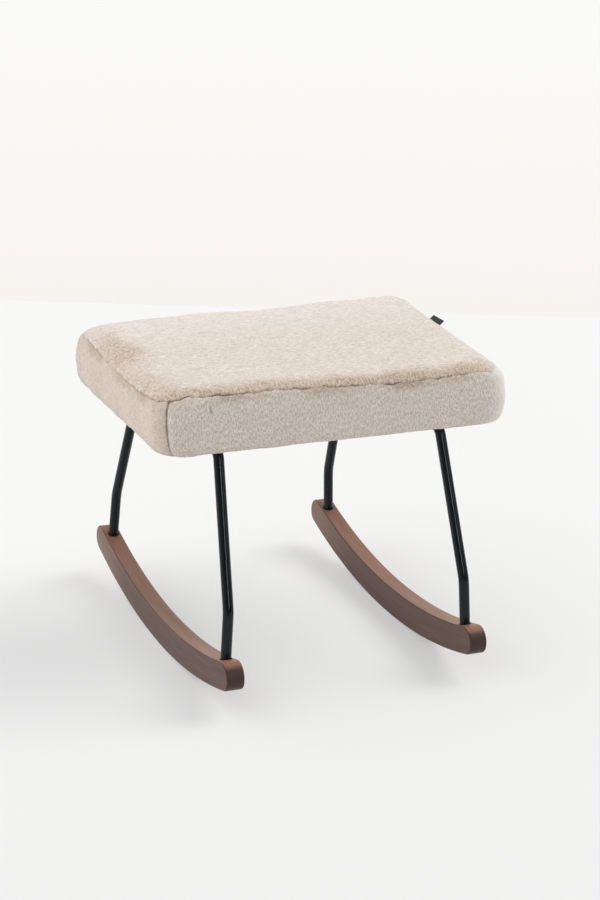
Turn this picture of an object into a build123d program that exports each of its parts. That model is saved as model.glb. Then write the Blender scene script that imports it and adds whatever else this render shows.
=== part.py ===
from build123d import *

import os
from math import acos, cos, radians, sin, sqrt, tan

# A rocking footstool: a boxed plush seat on two bent-tube side frames, each standing in a curved wood runner.
# Millimetres, +Z up. The origin is on the floor, midway between the lowest points of the two runners.
# X runs across the seat to its right-hand side, and the front of the stool faces -Y.

# ---- driving dimensions ----

# runners
ROCKER_LENGTH = 619.0
ROCKER_RADIUS = 1000.0  # the arc that rolls on the floor
ROCKER_TOP_RADIUS = 1030.0
ROCKER_DEPTH = 46.0  # at the middle; the arcs differ, so the ends are a little slimmer
ROCKER_THICKNESS = 28.0
ROCKER_CENTRE_X = 196.3
ROCKER_TOP_NOSE = 22.0  # corner radii of the rounded ends
ROCKER_LOW_NOSE = 18.0
ROCKER_EASE = 2.0

# side frames, bent from tube in a plane that leans in towards the seat
TUBE_DIAMETER = 16.0
TUBE_WALL = 1.5
FRAME_LEAN = 3.18  # degrees from upright
FRAME_X_AT_FLOOR = 199.4  # where the leaning plane would meet the floor
KNEE_Y = 260.0
KNEE_HEIGHT = 152.1
SHIN_LEAN = 3.15  # degrees, below the knee
SHIN_LENGTH = 99.0  # from the knee to the end of the tube
THIGH_LEAN = 21.0  # degrees, above the knee
KNEE_RADIUS = 60.0
SHOULDER_RADIUS = 16.0

# seat
SEAT_WIDTH = 568.0
SEAT_DEPTH = 400.0
SEAT_BOTTOM = 370.0
SEAT_EDGE_HEIGHT = 470.0  # where the rounded upper edge runs out into the domed top
SEAT_CROWN = 4.0
SEAT_CORNER = 34.0
DRAWN_IN = 2.5  # how far each side pulls in between its corners
BOTTOM_ROUND = 24.0
TOP_ROUND = 22.0
BULGE = 1.5
SEAM_HEIGHT = 458.5
SHOULDER_END = 15.0  # slope, in degrees, at which the rounded upper edge meets the domed top

# layers of the seat, from the outside in
COVER_THICKNESS = 8.0  # backing and pile
WADDING_THICKNESS = 4.0
BOARD_THICKNESS = 12.0
BOARD_INSET = 26.0
BOARD_CORNER = 18.0

# underside
PLUSH_LAP_INSET = 29.0  # where the turned-under plush is pressed flat by the dust cover
DUST_EDGE_INSET = 33.0
LAP_THICKNESS = 3.0
LAP_END_INSET = 49.0
DUST_CENTRE_INSET = 53.0
DUST_THICKNESS = 0.8
LEG_SLIT_GAP = 0.6
STAPLE_INSET = 41.0
STAPLE_CROWN = 10.0
STAPLE_WIRE = (0.6, 1.2)  # thickness and width
STAPLE_LEG = 6.0
STAPLE_PITCH = 62.0
STAPLES_ALONG_WIDTH = 8
STAPLES_ALONG_DEPTH = 5

# tabs welded to the rails, and their screws
TAB_LENGTH = 54.0
TAB_REACH = 28.0
TAB_THICKNESS = 3.0
TAB_CORNER = 6.0
TAB_Y = 92.0
TAB_HOLE_PITCH = 30.0
TAB_HOLE_INSET = 11.0  # from the tab's free edge
M6 = 6.0
M6_CLEARANCE = 6.6
WASHER_DIAMETER = 12.0
WASHER_THICKNESS = 1.2
HEAD_DIAMETER = 10.5
HEAD_HEIGHT = 3.3
HEAD_SOCKET = 4.0  # across flats
HEAD_SOCKET_DEPTH = 2.0
FRAME_BOLT_LENGTH = 16.0
TEE_NUT_FLANGE = 19.0
TEE_NUT_FLANGE_THICKNESS = 1.3
TEE_NUT_BARREL = 8.0
TEE_NUT_LENGTH = 9.0

# feet
SLEEVE_DIAMETER = 18.6
SLEEVE_PROUD = 0.6
INSERT_LENGTH = 20.0
INSERT_FLANGE = 1.5
FOOT_WEB = 8.0  # wood left between the socket and the counterbore
COUNTERBORE_DIAMETER = 13.0
ROCKER_BOLT_LENGTH = 25.0

# label, folded and sewn into the right-hand top seam
LABEL_LENGTH = 38.0
LABEL_THICKNESS = 1.2
LABEL_REACH = 12.0  # out of the seam
LABEL_ROOT = 4.0  # in the seam
LABEL_LEAN = 50.0  # degrees from upright, outwards
LABEL_Y = 62.0

SPARE = 60.0  # how far cutting bodies run past what they cut

# ---- derived dimensions ----

TUBE_RADIUS = TUBE_DIAMETER / 2
TUBE_BORE = TUBE_RADIUS - TUBE_WALL
LOW_PIVOT = SEAT_BOTTOM + BOTTOM_ROUND
HIGH_PIVOT = SEAT_EDGE_HEIGHT - TOP_ROUND
SEAM_TURN = acos((SEAM_HEIGHT - HIGH_PIVOT) / TOP_ROUND)  # where the seam lies on the rounded upper edge
SEAM_INSET = TOP_ROUND * (1 - sin(SEAM_TURN))
BOARD_BOTTOM = SEAT_BOTTOM + COVER_THICKNESS
BOARD_TOP = BOARD_BOTTOM + BOARD_THICKNESS
LAP_BOTTOM = BOARD_BOTTOM - LAP_THICKNESS
RAIL_TOP = BOARD_BOTTOM - DUST_THICKNESS
RAIL_HEIGHT = RAIL_TOP - TUBE_RADIUS
RAIL_X = FRAME_X_AT_FLOOR - RAIL_HEIGHT * tan(radians(FRAME_LEAN))
TAB_HOLE_X = RAIL_X - TUBE_RADIUS / 2 - TAB_REACH + TAB_HOLE_INSET
SIDES = {"left": -1, "right": 1}
ENDS = {"front": -1, "rear": 1}


def rise(y, radius):
    """How far an arc that is level at y = 0 has climbed at y."""
    return radius - sqrt(radius**2 - y**2)


def upright(radius, low, high):
    """A cylinder on the Z axis between two heights."""
    return Pos(0, 0, low) * extrude(Circle(radius), high - low)


# ---- runners ----


def under_top_arc(lift):
    """Everything below the runner's top arc, raised by lift, as wide as the whole stool."""
    end = ROCKER_LENGTH / 2 + SPARE
    top = ROCKER_DEPTH + lift
    high = top + rise(end, ROCKER_TOP_RADIUS)
    arc = ThreePointArc((end, high), (0, top), (-end, high))
    below = Polyline((-end, high), (-end, -SPARE), (end, -SPARE), (end, high))
    return extrude(Plane.YZ * make_face(arc + below), SEAT_WIDTH / 2, both=True)


def rocker_blank(side):
    """A board cut to two arcs, its ends rounded and its edges eased."""
    end = ROCKER_LENGTH / 2
    low = rise(end, ROCKER_RADIUS)
    high = ROCKER_DEPTH + rise(end, ROCKER_TOP_RADIUS)
    lower = ThreePointArc((-end, low), (0, 0), (end, low))
    upper = ThreePointArc((end, high), (0, ROCKER_DEPTH), (-end, high))
    outline = lower + Line((end, low), (end, high)) + upper + Line((-end, high), (-end, low))
    face = make_face(outline)
    face = fillet(face.vertices().group_by(Axis.Y)[-1], ROCKER_TOP_NOSE)
    face = fillet(face.vertices().filter_by(lambda v: abs(v.Y - low) < 0.01), ROCKER_LOW_NOSE)
    board = extrude(Plane.YZ * face, ROCKER_THICKNESS / 2, both=True)
    rims = board.edges().group_by(Axis.X)
    board = fillet(rims[0] + rims[-1], ROCKER_EASE)
    return Pos(side * ROCKER_CENTRE_X, 0, 0) * board


def foot_plane(side, end):
    """The plane across the end of one leg, its normal pointing up the tube."""
    path = frame_path(side)
    if end < 0:
        return Plane(origin=path @ 0, z_dir=path % 0)
    return Plane(origin=path @ 1, z_dir=-(path % 1))


def rocker(side):
    """A runner with a blind socket for each leg and a counterbored bolt hole below it."""
    web_bottom = -INSERT_FLANGE - FOOT_WEB
    socket = upright(SLEEVE_DIAMETER / 2, -INSERT_FLANGE, SPARE)
    bolt_hole = upright(M6_CLEARANCE / 2, web_bottom, 0)
    counterbore = upright(COUNTERBORE_DIAMETER / 2, -SPARE, web_bottom)
    board = rocker_blank(side)
    for end in ENDS.values():
        foot = foot_plane(side, end)
        board -= foot * socket
        board -= foot * bolt_hole
        board -= foot * counterbore
    return board


# ---- side frames ----


def frame_path(side):
    """Centreline of one side frame: an upside-down U with a knee in each leg, from front foot to rear foot."""
    lean = radians(FRAME_LEAN)
    plane = Plane(
        origin=(side * FRAME_X_AT_FLOOR, 0, 0),
        x_dir=(0, 1, 0),
        z_dir=(cos(lean), 0, side * sin(lean)),
    )
    knee = KNEE_HEIGHT / cos(lean)
    rail = RAIL_HEIGHT / cos(lean)
    foot_y = KNEE_Y + SHIN_LENGTH * sin(radians(SHIN_LEAN))
    foot = knee - SHIN_LENGTH * cos(radians(SHIN_LEAN))
    shoulder_y = KNEE_Y - (rail - knee) * tan(radians(THIGH_LEAN))
    half = [(foot_y, foot), (KNEE_Y, knee), (shoulder_y, rail)]
    points = [(-y, s) for y, s in half] + half[::-1]
    radii = [KNEE_RADIUS, SHOULDER_RADIUS, SHOULDER_RADIUS, KNEE_RADIUS]
    return plane * FilletPolyline(*points, radius=radii)


def along_frame(side, section):
    """A section swept from one foot over the rail to the other foot."""
    path = frame_path(side)
    start = Plane(origin=path @ 0, z_dir=path % 0)
    return sweep(start * section, path=path)


def leg_frame(side):
    return along_frame(side, Circle(TUBE_RADIUS) - Circle(TUBE_BORE))


def mount_plate(side, end):
    """A tab welded to the inner side of the rail, flush with its top, with two bolt holes."""
    inner = RAIL_X - TUBE_RADIUS / 2 - TAB_REACH
    outer = RAIL_X - TUBE_RADIUS / 2
    plan = Pos((inner + outer) / 2, 0) * Rectangle(outer - inner, TAB_LENGTH)
    plan = fillet(plan.vertices().group_by(Axis.X)[0], TAB_CORNER)
    for step in (-1, 1):
        plan -= Pos(TAB_HOLE_X, step * TAB_HOLE_PITCH / 2) * Circle(M6_CLEARANCE / 2)
    tab = Pos(0, end * TAB_Y, RAIL_TOP - TAB_THICKNESS) * extrude(plan, TAB_THICKNESS)
    rail = Pos(RAIL_X, 0, RAIL_HEIGHT) * Rot(90, 0, 0) * Cylinder(TUBE_RADIUS, SEAT_DEPTH)
    tab -= rail
    return tab if side > 0 else mirror(tab, Plane.YZ)


# ---- feet ----


def socket_sleeve(side, end):
    """A thin ring between the tube and the wood, cut along the runner's top just proud of it."""
    ring = upright(SLEEVE_DIAMETER / 2, -INSERT_FLANGE, SPARE) - upright(TUBE_RADIUS, -INSERT_FLANGE, SPARE)
    return foot_plane(side, end) * ring & under_top_arc(SLEEVE_PROUD)


def tube_insert(side, end):
    """A threaded plug pressed into the end of the tube, with a flange that the tube stands on."""
    plug = upright(TUBE_BORE, 0, INSERT_LENGTH) + upright(TUBE_RADIUS, -INSERT_FLANGE, 0)
    plug -= upright(M6 / 2, -INSERT_FLANGE, INSERT_LENGTH)
    return foot_plane(side, end) * plug


def bolt(length):
    """A button-head bolt, the underside of its head at z = 0 and its shank pointing up."""
    head = extrude(Circle(HEAD_DIAMETER / 2), -HEAD_HEIGHT)
    head = fillet(head.edges().group_by(Axis.Z)[0], HEAD_HEIGHT / 2)
    hexagon = RegularPolygon(HEAD_SOCKET / 2, 6, major_radius=False)
    head -= Pos(0, 0, -HEAD_HEIGHT) * extrude(hexagon, HEAD_SOCKET_DEPTH)
    return head + upright(M6 / 2, 0, length)


def washer():
    """A flat washer whose upper face is at z = 0."""
    return extrude(Circle(WASHER_DIAMETER / 2) - Circle(M6_CLEARANCE / 2), -WASHER_THICKNESS)


def foot_seats():
    """Where each foot bolt's washer bears on the wood, looking up the leg."""
    planes = [foot_plane(side, end) for side in SIDES.values() for end in ENDS.values()]
    return [plane.offset(-INSERT_FLANGE - FOOT_WEB) for plane in planes]


# ---- seat frame screws ----


def tab_hole_points():
    """Plan positions of the eight screws that hold the side frames to the board."""
    return [
        (side * TAB_HOLE_X, end * TAB_Y + step * TAB_HOLE_PITCH / 2)
        for side in SIDES.values()
        for end in ENDS.values()
        for step in (-1, 1)
    ]


def at_tab_holes(height, piece):
    return [Pos(x, y, height) * piece for x, y in tab_hole_points()]


def tee_nut():
    """A tee nut whose flange is flush with the board's top at z = 0, its barrel pointing down."""
    nut = extrude(Circle(TEE_NUT_FLANGE / 2), -TEE_NUT_FLANGE_THICKNESS)
    nut += extrude(Circle(TEE_NUT_BARREL / 2), -TEE_NUT_LENGTH)
    return nut - extrude(Circle(M6 / 2), -TEE_NUT_LENGTH)


# ---- seat ----


def seat_outline(inset, height, corner=None):
    """Plan of the seat at one height: rounded corners, and sides drawn in a little between them."""
    a = SEAT_WIDTH / 2 - inset
    b = SEAT_DEPTH / 2 - inset
    r = corner or max(SEAT_CORNER - inset, SEAT_CORNER / 4)
    d = r * (1 - cos(radians(45)))
    edges = [
        ThreePointArc((a, -(b - r)), (a - DRAWN_IN, 0), (a, b - r)),
        ThreePointArc((a, b - r), (a - d, b - d), (a - r, b)),
        ThreePointArc((a - r, b), (0, b - DRAWN_IN), (-(a - r), b)),
        ThreePointArc((-(a - r), b), (-(a - d), b - d), (-a, b - r)),
        ThreePointArc((-a, b - r), (-(a - DRAWN_IN), 0), (-a, -(b - r))),
        ThreePointArc((-a, -(b - r)), (-(a - d), -(b - d)), (-(a - r), -b)),
        ThreePointArc((-(a - r), -b), (0, -(b - DRAWN_IN)), (a - r, -b)),
        ThreePointArc((a - r, -b), (a - d, -(b - d)), (a, -(b - r))),
    ]
    return Pos(0, 0, height) * make_face(edges)


def side_lofts(inset):
    """(height, inset) up the side of the seat, in four stretches: round at the bottom, softly bulged, round
    again at the top, and a last run that leans on inwards past the domed top that cuts it off."""
    low_radius = BOTTOM_ROUND - inset
    high_radius = TOP_ROUND - inset
    run = 7 * SEAT_CROWN
    foot = [
        (LOW_PIVOT - low_radius * cos(radians(turn)), BOTTOM_ROUND - low_radius * sin(radians(turn)))
        for turn in (0, 30, 60, 90)
    ]
    bulge = [foot[-1], ((LOW_PIVOT + HIGH_PIVOT) / 2, inset - BULGE), (HIGH_PIVOT, inset)]
    shoulder = [
        (HIGH_PIVOT + high_radius * cos(radians(turn)), TOP_ROUND - high_radius * sin(radians(turn)))
        for turn in (90, 65, 40, SHOULDER_END)
    ]
    height, last = shoulder[-1]
    tip_end = (height + run * sin(radians(SHOULDER_END)), last + run * cos(radians(SHOULDER_END)))
    return foot, bulge, shoulder, [shoulder[-1], tip_end]


def crown_block(inset):
    """A block whose top is domed: level at the seat's edges and SEAT_CROWN higher in the middle."""
    side = SEAT_DEPTH / 2
    out = side + SPARE
    low = SEAT_BOTTOM - SPARE
    edge = SEAT_EDGE_HEIGHT - inset
    box = Polyline((-side, edge), (-out, edge), (-out, low), (out, low), (out, edge), (side, edge))
    sections = []
    for share in (-1.2, -1, -0.8, -0.5, 0, 0.5, 0.8, 1, 1.2):
        peak = edge + SEAT_CROWN * max(1 - abs(share) ** 3, 0.05)
        arc = ThreePointArc((side, edge), (0, peak), (-side, edge))
        sections.append(Plane.YZ.offset(share * SEAT_WIDTH / 2) * make_face(arc + box))
    return loft(sections)


def seat_form(inset):
    """The whole seat, with every surface moved in by inset."""
    sides = Part()
    for stations in side_lofts(inset):
        sides += loft([seat_outline(i, h) for h, i in stations])
    return sides & crown_block(inset)


def seat_board_blank():
    plan = seat_outline(BOARD_INSET, BOARD_BOTTOM, BOARD_CORNER)
    return extrude(plan, BOARD_THICKNESS)


def seat_board():
    """Plywood board with a hole and a flange recess for each tee nut."""
    hole = extrude(Circle(TEE_NUT_BARREL / 2), -BOARD_THICKNESS)
    hole += extrude(Circle(TEE_NUT_FLANGE / 2), -TEE_NUT_FLANGE_THICKNESS)
    return seat_board_blank() - at_tab_holes(BOARD_TOP, hole)


def dust_recess(drop):
    """The shallow recess inside the turned-under cover, moved down by drop."""
    low = seat_outline(LAP_END_INSET, LAP_BOTTOM - drop)
    high = seat_outline(DUST_CENTRE_INSET, BOARD_BOTTOM - drop)
    return loft([low, high], ruled=True)


def dust_cover():
    """A thin sheet over the cover's turned-under edge, which steps up to lie against the board."""
    rim = extrude(seat_outline(DUST_EDGE_INSET, LAP_BOTTOM), -DUST_THICKNESS)
    sheet = rim + dust_recess(0) - dust_recess(DUST_THICKNESS)
    sheet -= at_tab_holes(LAP_BOTTOM, extrude(Circle(M6_CLEARANCE / 2), LAP_THICKNESS))
    return sheet - leg_slits()


def staple():
    """One staple, its crown against the underside of the dust cover at z = 0 and its legs pointing up."""
    thickness, width = STAPLE_WIRE
    shape = Pos(0, 0, -thickness / 2) * Box(STAPLE_CROWN, width, thickness)
    for end in (-1, 1):
        x = end * (STAPLE_CROWN - thickness) / 2
        shape += Pos(x, 0, STAPLE_LEG / 2) * Box(thickness, width, STAPLE_LEG)
    return shape


def staples():
    """Staples round the turned-under cover, one row along each side."""
    height = LAP_BOTTOM - DUST_THICKNESS
    x = SEAT_WIDTH / 2 - STAPLE_INSET
    y = SEAT_DEPTH / 2 - STAPLE_INSET
    along_width = GridLocations(STAPLE_PITCH, 2 * y, STAPLES_ALONG_WIDTH, 2)
    along_depth = GridLocations(2 * x, STAPLE_PITCH, 2, STAPLES_ALONG_DEPTH)
    made = [Pos(0, 0, height) * place * staple() for place in along_width]
    made += [Pos(0, 0, height) * place * Rot(0, 0, 90) * staple() for place in along_depth]
    return made


def leg_slits():
    """Where the shoulders of the side frames pass the edge of the cover."""
    clear = SEAT_DEPTH / 2 - DUST_CENTRE_INSET - DRAWN_IN
    middle = Box(2 * SEAT_WIDTH, 2 * clear, 4 * SEAT_EDGE_HEIGHT)
    section = Circle(TUBE_RADIUS + LEG_SLIT_GAP)
    return [along_frame(side, section) - middle for side in SIDES.values()]


def cover_shell():
    """The whole cover before it is cut at its seams: open below, its edge turned in under the board."""
    shell = seat_form(0) - seat_form(COVER_THICKNESS)
    bevel = loft(
        [
            seat_outline(PLUSH_LAP_INSET, SEAT_BOTTOM - DUST_THICKNESS),
            seat_outline(DUST_EDGE_INSET, LAP_BOTTOM),
        ],
        ruled=True,
    )
    return shell - bevel - dust_recess(0) - leg_slits() - side_label()


def corner_wedge(name):
    """The part of the plan that belongs to one band, bounded by the seat's two diagonal corner seams."""
    a = SEAT_WIDTH / 2 + SPARE
    b = SEAT_DEPTH / 2 + SPARE
    reach = 2 * SPARE
    long_side = [(-a, -b), (a, -b), (a - reach, -(b - reach)), (-(a - reach), -(b - reach))]
    short_side = [(-a, -b), (-(a - reach), -(b - reach)), (-(a - reach), b - reach), (-a, b)]
    turns = {"front": (long_side, 0), "rear": (long_side, 180), "left": (short_side, 0), "right": (short_side, 180)}
    points, turn = turns[name]
    plan = Rot(0, 0, turn) * make_face(Polyline(*points, close=True))
    return extrude(Pos(0, 0, SEAT_BOTTOM - SPARE) * plan, SEAM_HEIGHT - SEAT_BOTTOM + SPARE)


def side_label():
    """A folded label that leans out of the right-hand top seam."""
    tag = Box(LABEL_THICKNESS, LABEL_LENGTH, LABEL_REACH + LABEL_ROOT)
    tag = Pos(0, 0, (LABEL_REACH - LABEL_ROOT) / 2) * tag
    return Pos(SEAT_WIDTH / 2 - DRAWN_IN - SEAM_INSET, LABEL_Y, SEAM_HEIGHT) * Rot(0, LABEL_LEAN, 0) * tag


# ---- the pieces, by name ----


def pieces():
    made = {}
    for side_name, side in SIDES.items():
        made[f"rocker_{side_name}"] = rocker(side)
        made[f"leg_frame_{side_name}"] = leg_frame(side)
        for end_name, end in ENDS.items():
            corner = f"{side_name}_{end_name}"
            made[f"mount_plate_{corner}"] = mount_plate(side, end)
            made[f"socket_sleeve_{corner}"] = socket_sleeve(side, end)
            made[f"tube_insert_{corner}"] = tube_insert(side, end)

    washer_bottom = RAIL_TOP - TAB_THICKNESS - WASHER_THICKNESS
    seats = foot_seats()
    made["rocker_washers"] = [seat * washer() for seat in seats]
    made["rocker_bolts"] = [seat.offset(-WASHER_THICKNESS) * bolt(ROCKER_BOLT_LENGTH) for seat in seats]
    made["frame_washers"] = at_tab_holes(RAIL_TOP - TAB_THICKNESS, washer())
    made["frame_bolts"] = at_tab_holes(washer_bottom, bolt(FRAME_BOLT_LENGTH))
    made["tee_nuts"] = at_tab_holes(BOARD_TOP, tee_nut())

    board = seat_board_blank()
    under_cover = seat_form(COVER_THICKNESS)
    foam = seat_form(COVER_THICKNESS + WADDING_THICKNESS)
    made["cover_staples"] = staples()
    made["seat_board"] = seat_board() - made["cover_staples"]
    made["foam_pad"] = foam - board
    made["wadding_wrap"] = under_cover - foam - board
    made["dust_cover"] = dust_cover() - made["cover_staples"]

    shell = cover_shell() - made["cover_staples"]
    above = Pos(0, 0, SEAM_HEIGHT + SPARE / 2) * Box(2 * SEAT_WIDTH, 2 * SEAT_DEPTH, SPARE)
    made["cover_top_panel"] = shell & above
    for name in ("front", "rear", "left", "right"):
        made[f"cover_{name}_band"] = shell & corner_wedge(name)
    made["side_label"] = side_label()
    return made


os.makedirs("parts", exist_ok=True)
for name, piece in pieces().items():
    solids = piece if isinstance(piece, list) else [piece]
    solids = [solid for shape in solids for solid in shape.solids()]
    export_step(solids[0] if len(solids) == 1 else Compound(children=solids), f"parts/{name}.step")
    print(name, len(solids), round(sum(solid.volume for solid in solids)))
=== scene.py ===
from math import cos, pi, radians, sin

import bpy
import numpy as np
from mathutils import Matrix, Vector
from numpy import concatenate as join


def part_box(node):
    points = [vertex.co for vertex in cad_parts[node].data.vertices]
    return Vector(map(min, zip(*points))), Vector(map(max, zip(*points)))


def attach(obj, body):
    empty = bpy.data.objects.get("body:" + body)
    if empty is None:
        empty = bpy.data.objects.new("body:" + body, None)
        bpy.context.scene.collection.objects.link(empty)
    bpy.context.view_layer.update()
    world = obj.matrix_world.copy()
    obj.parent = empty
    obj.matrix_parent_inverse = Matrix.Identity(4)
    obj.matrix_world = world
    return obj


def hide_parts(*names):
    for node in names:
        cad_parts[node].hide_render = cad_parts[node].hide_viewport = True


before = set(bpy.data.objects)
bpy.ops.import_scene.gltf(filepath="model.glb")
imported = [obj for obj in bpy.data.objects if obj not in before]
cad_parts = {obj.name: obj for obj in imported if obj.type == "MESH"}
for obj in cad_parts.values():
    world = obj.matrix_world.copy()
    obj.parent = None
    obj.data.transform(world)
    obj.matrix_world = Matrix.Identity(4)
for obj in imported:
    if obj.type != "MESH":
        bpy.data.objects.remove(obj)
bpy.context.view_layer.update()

# The looks of the rocking footstool. Metres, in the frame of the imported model: X across the seat, the front
# faces -Y, +Z up, the floor at z = 0.


def set_all(thing, **values):
    for name, value in values.items():
        setattr(thing, name, value)


def show(name, data):
    """An object with that data, put in the scene."""
    item = bpy.data.objects.new(name, data)
    bpy.context.scene.collection.objects.link(item)
    return item


# ---- view ----

CAMERA_PLACE = (-1.267, -3.0229, 1.4398)
CAMERA_YAW = radians(23.153)  # from looking along +Y towards +X
CAMERA_PITCH = radians(19.246)  # below the horizon
CAMERA_ROLL = radians(1.719)
CAMERA_LENS = 88.76  # mm, on 36 mm


def make_camera():
    data = bpy.data.cameras.new("camera")
    set_all(data, lens=CAMERA_LENS, clip_start=0.05)
    camera = show("camera", data)
    turns = ((-CAMERA_YAW, "Z"), (pi / 2 - CAMERA_PITCH, "X"), (CAMERA_ROLL, "Z"))
    yaw, pitch, roll = (Matrix.Rotation(angle, 4, axis) for angle, axis in turns)
    camera.matrix_world = Matrix.Translation(CAMERA_PLACE) @ yaw @ pitch @ roll
    bpy.context.scene.camera = camera


# ---- shader nodes ----

WHITE = (1.0, 1.0, 1.0)


class Shading:
    """The node tree of a material or the world, with a method for each kind of node."""

    def __init__(self, owner):
        owner.use_nodes = True
        self.tree = owner.node_tree
        self.tree.nodes.clear()

    def feed(self, socket, value):
        """Links another socket to this one, or sets it to a plain value."""
        if isinstance(value, bpy.types.NodeSocket):
            self.tree.links.new(value, socket)
        else:
            socket.default_value = value

    def add(self, kind, inputs=None, **settings):
        node = self.tree.nodes.new("ShaderNode" + kind)
        set_all(node, **settings)
        for name, value in (inputs or {}).items():
            self.feed(node.inputs[name], value)
        return node

    def calc(self, operation, *values, clamp=False):
        return self.add("Math", dict(enumerate(values)), operation=operation, use_clamp=clamp).outputs[0]

    def vectors(self, operation, first, second):
        return self.add("VectorMath", {0: first, 1: second}, operation=operation).outputs

    def noise(self, coords, scale, detail=2.0, roughness=0.5, distortion=0.0):
        """Noise from 0 to 1. The scale is in bumps a metre, one number or one for each axis."""
        scale = scale if isinstance(scale, tuple) else (scale,) * 3
        inputs = {"Vector": self.vectors("MULTIPLY", coords, scale)[0], "Scale": 1.0, "Detail": detail,
                  "Roughness": roughness, "Distortion": distortion}
        return self.add("TexNoise", inputs).outputs["Fac"]

    def wave(self, value, pitch):
        return self.calc("SINE", self.calc("MULTIPLY", value, 2 * pi / pitch))

    def spread(self, value, low, high, to_low=0.0, to_high=1.0):
        """The value's range from low to high, stretched to another range and held there."""
        inputs = {"Value": value, "From Min": low, "From Max": high, "To Min": to_low, "To Max": to_high}
        return self.add("MapRange", inputs).outputs[0]

    def mix(self, factor, first, second, blend="MIX"):
        """Two colours mixed. A plain colour has three numbers."""
        node = self.add("Mix", {0: factor}, data_type="RGBA", blend_type=blend)
        for index, colour in ((6, first), (7, second)):
            self.feed(node.inputs[index], (*colour, 1.0) if isinstance(colour, tuple) else colour)
        return node.outputs[2]

    def split(self, vector):
        return self.add("SeparateXYZ", {0: vector}).outputs

    def pale_rays(self):
        """1 for a ray that may see the pale surroundings: from the camera, a reflection or glass."""
        path = self.add("LightPath").outputs
        seen = self.calc("ADD", path["Is Camera Ray"], path["Is Glossy Ray"])
        return self.calc("ADD", seen, path["Is Transmission Ray"], clamp=True)


class Finish(Shading):
    """A new material. The constants are its Principled shader's values, _ standing for a space."""

    def __init__(self, name, **constants):
        self.material = bpy.data.materials.new(name)
        super().__init__(self.material)
        constants = {socket.replace("_", " "): value for socket, value in constants.items()}
        self.shader = self.add("BsdfPrincipled", constants)
        self.output = self.add("OutputMaterial", {"Surface": self.shader.outputs[0]})

    def coords(self):
        return self.add("TexCoord").outputs["Object"]

    def attribute(self, name, output="Fac"):
        return self.add("Attribute", attribute_name=name).outputs[output]

    def paint(self, colour, rough, height, depth, strength=1.0):
        """Gives the shader a colour, a roughness unless that is a constant, and a relief."""
        relief = {"Height": height, "Distance": depth, "Strength": strength}
        self.feed(self.shader.inputs["Base Color"], colour)
        if rough is not None:
            self.feed(self.shader.inputs["Roughness"], rough)
        self.feed(self.shader.inputs["Normal"], self.add("Bump", relief).outputs["Normal"])
        return self.material


def grainy(name, cloud, colours, rough, grain, depth, **constants):
    """Two colours mixed by one noise, and another noise in relief: cloud and grain say how they go. Rough is
    the cloud's range and the roughness that it gives, or None where that is constant."""
    finish = Finish(name, **constants)
    coords = finish.coords()
    tone = finish.noise(coords, *cloud)
    roughness = finish.spread(tone, *rough) if rough else None
    return finish.paint(finish.mix(tone, *colours), roughness, finish.noise(coords, *grain), depth)


# ---- stage and light ----

WALL_LOW = (0.93, 0.905, 0.87)
WALL_HIGH = (0.96, 0.957, 0.94)
AMBIENT = 0.625
MORE_FROM_LEFT = 0.98
MORE_FROM_FRONT = -0.64
DIM_ROOM = (0.05, 0.05, 0.055)  # behind the camera, in reflections
SUN_STRENGTH = 1.35
SUN_FROM = (0.85, -0.06, 0.85)  # from the stool towards the sun
SUN_WIDTH = radians(36)
SUN_COLOUR = (1.0, 0.985, 0.96)
# upright lamps that only show in gloss: place, size, power
STRIPS = (((0.12, -3.6, 1.75), (0.2, 1.7), 30.0), ((2.5, -2.6, 1.75), (0.25, 1.7), 10.0))
STRIP_COLOUR = (0.86, 0.94, 1.0)

FLOOR_FAR = 1.875  # from the stool to the far edge of the floor, away from the camera
FLOOR_NEAR = 6.0
FLOOR_TONES = ((0.885, 0.886, 0.887), (0.902, 0.902, 0.9))
FLOOR_NEAR_SHADE = (0.92, 0.922, 0.925)  # painted shade: how much darker the floor is drawn towards the camera
FLOOR_GLOW = 0.42  # share of the floor that a camera ray sees as plain pale ground
FLOOR_GLOW_COLOUR = (0.92, 0.92, 0.92)


def make_world():
    world = bpy.data.worlds.new("surroundings")
    sky = Shading(world)
    x, y, z = sky.split(sky.add("TexCoord").outputs["Generated"])
    shown = sky.mix(sky.spread(z, -0.27, -0.15), WALL_LOW, WALL_HIGH)
    left = sky.spread(x, 0.2, -1.0, 0.0, MORE_FROM_LEFT)
    front = sky.spread(y, -0.1, -1.0, 0.0, MORE_FROM_FRONT)
    light = sky.calc("ADD", sky.calc("ADD", left, front), AMBIENT)
    colour = sky.mix(sky.pale_rays(), light, shown)
    mirrored = sky.mix(sky.spread(y, -0.85, 0.5), DIM_ROOM, WALL_HIGH)
    colour = sky.mix(sky.add("LightPath").outputs["Is Glossy Ray"], colour, mirrored)
    background = sky.add("Background", {"Color": colour, "Strength": 1.0})
    sky.add("OutputWorld", {"Surface": background.outputs[0]})
    bpy.context.scene.world = world


def lamp(name, kind, place, **settings):
    """A lamp that is turned to shine from the place towards the stool."""
    data = bpy.data.lights.new(name, kind)
    set_all(data, **settings)
    item = show(name, data)
    item.rotation_euler = Vector(place).to_track_quat("Z", "Y").to_euler()
    return item


def make_lamps():
    lamp("sun", "SUN", SUN_FROM, energy=SUN_STRENGTH, angle=SUN_WIDTH, color=SUN_COLOUR)
    for place, (width, height), power in STRIPS:
        strip = lamp("strip", "AREA", place, shape="RECTANGLE", size=width, size_y=height, energy=power,
                     color=STRIP_COLOUR)
        set_all(strip, location=place, visible_diffuse=False, visible_camera=False)


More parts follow.
